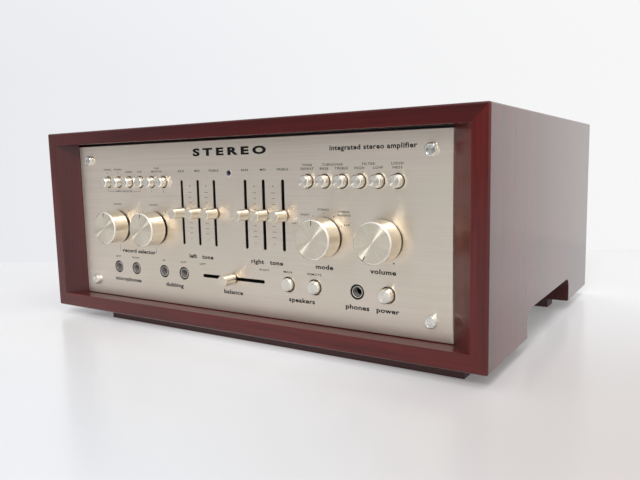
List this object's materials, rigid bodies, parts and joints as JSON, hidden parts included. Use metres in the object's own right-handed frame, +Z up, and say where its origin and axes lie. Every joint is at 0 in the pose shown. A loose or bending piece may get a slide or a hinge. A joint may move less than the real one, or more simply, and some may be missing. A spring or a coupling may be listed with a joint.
{
  "type": "integrated amplifier",
  "caption": "Stereo integrated amplifier in a mitred wooden case, with a brushed faceplate, push buttons, tone sliders, a balance slider, turned knobs and front jacks.",
  "frame": {"origin": "on the resting surface, under the middle of the whole object", "axes": "+X to the right seen from the front, +Y to the back, +Z up"},
  "size_m": [0.448, 0.3374, 0.182],
  "materials": {
    "mahogany": "dark red-brown stained mahogany under a semi-gloss lacquer",
    "black_wood": "black-stained wood, matt",
    "champagne_panel": "brushed along X and champagne anodised, satin",
    "champagne_knob": "turned and champagne anodised, satin with bright chamfers",
    "screw_metal": "nickel-plated steel, satin",
    "lamp_jewel": "deep blue glass jewel, polished",
    "zinc_steel": "zinc-plated sheet steel, satin",
    "rear_paint": "black enamel, satin",
    "black_paint": "black enamel, matt",
    "transformer_paint": "black varnished steel laminations",
    "capacitor_sleeve": "blue shrink sleeve, gloss",
    "black_anodised": "black anodised extrusion, satin",
    "transistor_can": "nickel-plated steel can",
    "circuit_board": "brown laminate circuit board",
    "shaft_steel": "ground steel",
    "black_plastic": "black moulded phenolic, satin",
    "nickel": "nickel plate, polished",
    "panel_ink": "black screen-printed ink"
  },
  "bodies": {
    "amplifier": {"top_board": "mahogany", "left_side_board": "mahogany", "right_side_board": "mahogany", "front_bottom_rail": "mahogany", "rear_bottom_rail": "mahogany", "reveal_mouldings": "mahogany", "plinth_bars": "black_wood", "faceplate": "champagne_panel", "faceplate_screws": "screw_metal", "pilot_lamp": "lamp_jewel", "front_subpanel": "zinc_steel", "chassis_pan": "zinc_steel", "rear_panel": "rear_paint", "top_cover": "black_paint", "power_transformer": "transformer_paint", "filter_capacitors": "capacitor_sleeve", "heat_sinks": "black_anodised", "output_transistors": "transistor_can", "amplifier_boards": "circuit_board", "preamplifier_board": "circuit_board", "slide_potentiometers": "zinc_steel", "rotary_switch_bodies": "zinc_steel", "push_switch_bodies": "black_plastic", "front_jacks": "nickel", "phono_sockets": "nickel", "speaker_terminals": "black_plastic", "ac_outlets": "black_plastic", "fuse_holder": "black_plastic", "cord_gland": "black_plastic", "chassis_screws": "screw_metal"},
    "input_button_1": {"input_button_1": "champagne_knob"},
    "input_button_2": {"input_button_2": "champagne_knob"},
    "input_button_3": {"input_button_3": "champagne_knob"},
    "input_button_4": {"input_button_4": "champagne_knob"},
    "input_button_5": {"input_button_5": "champagne_knob"},
    "input_button_6": {"input_button_6": "champagne_knob"},
    "filter_button_1": {"filter_button_1": "champagne_knob"},
    "filter_button_2": {"filter_button_2": "champagne_knob"},
    "filter_button_3": {"filter_button_3": "champagne_knob"},
    "filter_button_4": {"filter_button_4": "champagne_knob"},
    "filter_button_5": {"filter_button_5": "champagne_knob"},
    "filter_button_6": {"filter_button_6": "champagne_knob"},
    "main_speaker_button": {"main_speaker_button": "champagne_knob"},
    "remote_speaker_button": {"remote_speaker_button": "champagne_knob"},
    "power_button": {"power_button": "champagne_knob"},
    "left_bass_slider": {"left_bass_slider": "champagne_knob"},
    "left_mid_slider": {"left_mid_slider": "champagne_knob"},
    "left_treble_slider": {"left_treble_slider": "champagne_knob"},
    "right_bass_slider": {"right_bass_slider": "champagne_knob"},
    "right_mid_slider": {"right_mid_slider": "champagne_knob"},
    "right_treble_slider": {"right_treble_slider": "champagne_knob"},
    "balance_slider": {"balance_slider": "champagne_knob"},
    "left_record_selector_control": {"left_record_selector_knob": "champagne_knob", "left_record_selector_shaft": "shaft_steel"},
    "right_record_selector_control": {"right_record_selector_knob": "champagne_knob", "right_record_selector_shaft": "shaft_steel"},
    "mode_control": {"mode_knob": "champagne_knob", "mode_shaft": "shaft_steel"},
    "volume_control": {"volume_knob": "champagne_knob", "volume_shaft": "shaft_steel"}
  },
  "joints": [
    {"name": "input_button_1_press", "type": "slide", "parent": "amplifier", "child": "input_button_1", "axis": [0, 1, 0], "range_m": [0, 0.0033], "stiffness_N_per_m": 200},
    {"name": "input_button_2_press", "type": "slide", "parent": "amplifier", "child": "input_button_2", "axis": [0, 1, 0], "range_m": [0, 0.0033], "stiffness_N_per_m": 200},
    {"name": "input_button_3_press", "type": "slide", "parent": "amplifier", "child": "input_button_3", "axis": [0, 1, 0], "range_m": [0, 0.0033], "stiffness_N_per_m": 200},
    {"name": "input_button_4_press", "type": "slide", "parent": "amplifier", "child": "input_button_4", "axis": [0, 1, 0], "range_m": [-0.0033, 0]},
    {"name": "input_button_5_press", "type": "slide", "parent": "amplifier", "child": "input_button_5", "axis": [0, 1, 0], "range_m": [0, 0.0033], "stiffness_N_per_m": 200},
    {"name": "input_button_6_press", "type": "slide", "parent": "amplifier", "child": "input_button_6", "axis": [0, 1, 0], "range_m": [0, 0.0033], "stiffness_N_per_m": 200},
    {"name": "filter_button_1_press", "type": "slide", "parent": "amplifier", "child": "filter_button_1", "axis": [0, 1, 0], "range_m": [0, 0.0033], "stiffness_N_per_m": 200},
    {"name": "filter_button_2_press", "type": "slide", "parent": "amplifier", "child": "filter_button_2", "axis": [0, 1, 0], "range_m": [0, 0.0033], "stiffness_N_per_m": 200},
    {"name": "filter_button_3_press", "type": "slide", "parent": "amplifier", "child": "filter_button_3", "axis": [0, 1, 0], "range_m": [0, 0.0033], "stiffness_N_per_m": 200},
    {"name": "filter_button_4_press", "type": "slide", "parent": "amplifier", "child": "filter_button_4", "axis": [0, 1, 0], "range_m": [0, 0.0033], "stiffness_N_per_m": 200},
    {"name": "filter_button_5_press", "type": "slide", "parent": "amplifier", "child": "filter_button_5", "axis": [0, 1, 0], "range_m": [0, 0.0033], "stiffness_N_per_m": 200},
    {"name": "filter_button_6_press", "type": "slide", "parent": "amplifier", "child": "filter_button_6", "axis": [0, 1, 0], "range_m": [0, 0.0033], "stiffness_N_per_m": 200},
    {"name": "main_speaker_button_press", "type": "slide", "parent": "amplifier", "child": "main_speaker_button", "axis": [0, 1, 0], "range_m": [-0.0033, 0]},
    {"name": "remote_speaker_button_press", "type": "slide", "parent": "amplifier", "child": "remote_speaker_button", "axis": [0, 1, 0], "range_m": [-0.0033, 0]},
    {"name": "power_button_press", "type": "slide", "parent": "amplifier", "child": "power_button", "axis": [0, 1, 0], "range_m": [0, 0.0033], "stiffness_N_per_m": 200},
    {"name": "left_bass_slider_travel", "type": "slide", "parent": "amplifier", "child": "left_bass_slider", "axis": [0, 0, 1], "range_m": [-0.0225, 0.0225]},
    {"name": "left_mid_slider_travel", "type": "slide", "parent": "amplifier", "child": "left_mid_slider", "axis": [0, 0, 1], "range_m": [-0.0225, 0.0225]},
    {"name": "left_treble_slider_travel", "type": "slide", "parent": "amplifier", "child": "left_treble_slider", "axis": [0, 0, 1], "range_m": [-0.0225, 0.0225]},
    {"name": "right_bass_slider_travel", "type": "slide", "parent": "amplifier", "child": "right_bass_slider", "axis": [0, 0, 1], "range_m": [-0.0225, 0.0225]},
    {"name": "right_mid_slider_travel", "type": "slide", "parent": "amplifier", "child": "right_mid_slider", "axis": [0, 0, 1], "range_m": [-0.0225, 0.0225]},
    {"name": "right_treble_slider_travel", "type": "slide", "parent": "amplifier", "child": "right_treble_slider", "axis": [0, 0, 1], "range_m": [-0.0225, 0.0225]},
    {"name": "balance_slider_travel", "type": "slide", "parent": "amplifier", "child": "balance_slider", "axis": [1, 0, 0], "range_m": [-0.03, 0.03]},
    {"name": "left_record_selector_turn", "type": "hinge", "parent": "amplifier", "child": "left_record_selector_control", "pos_m": [-0.1425, -0.1515, 0.0909], "axis": [0, 1, 0], "range_deg": [-45, 45]},
    {"name": "right_record_selector_turn", "type": "hinge", "parent": "amplifier", "child": "right_record_selector_control", "pos_m": [-0.0924, -0.1515, 0.0909], "axis": [0, 1, 0], "range_deg": [-45, 45]},
    {"name": "mode_turn", "type": "hinge", "parent": "amplifier", "child": "mode_control", "pos_m": [0.0924, -0.1515, 0.0909], "axis": [0, 1, 0], "range_deg": [-60, 60]},
    {"name": "volume_turn", "type": "hinge", "parent": "amplifier", "child": "volume_control", "pos_m": [0.1425, -0.1515, 0.0909], "axis": [0, 1, 0], "range_deg": [0, 300]}
  ]
}
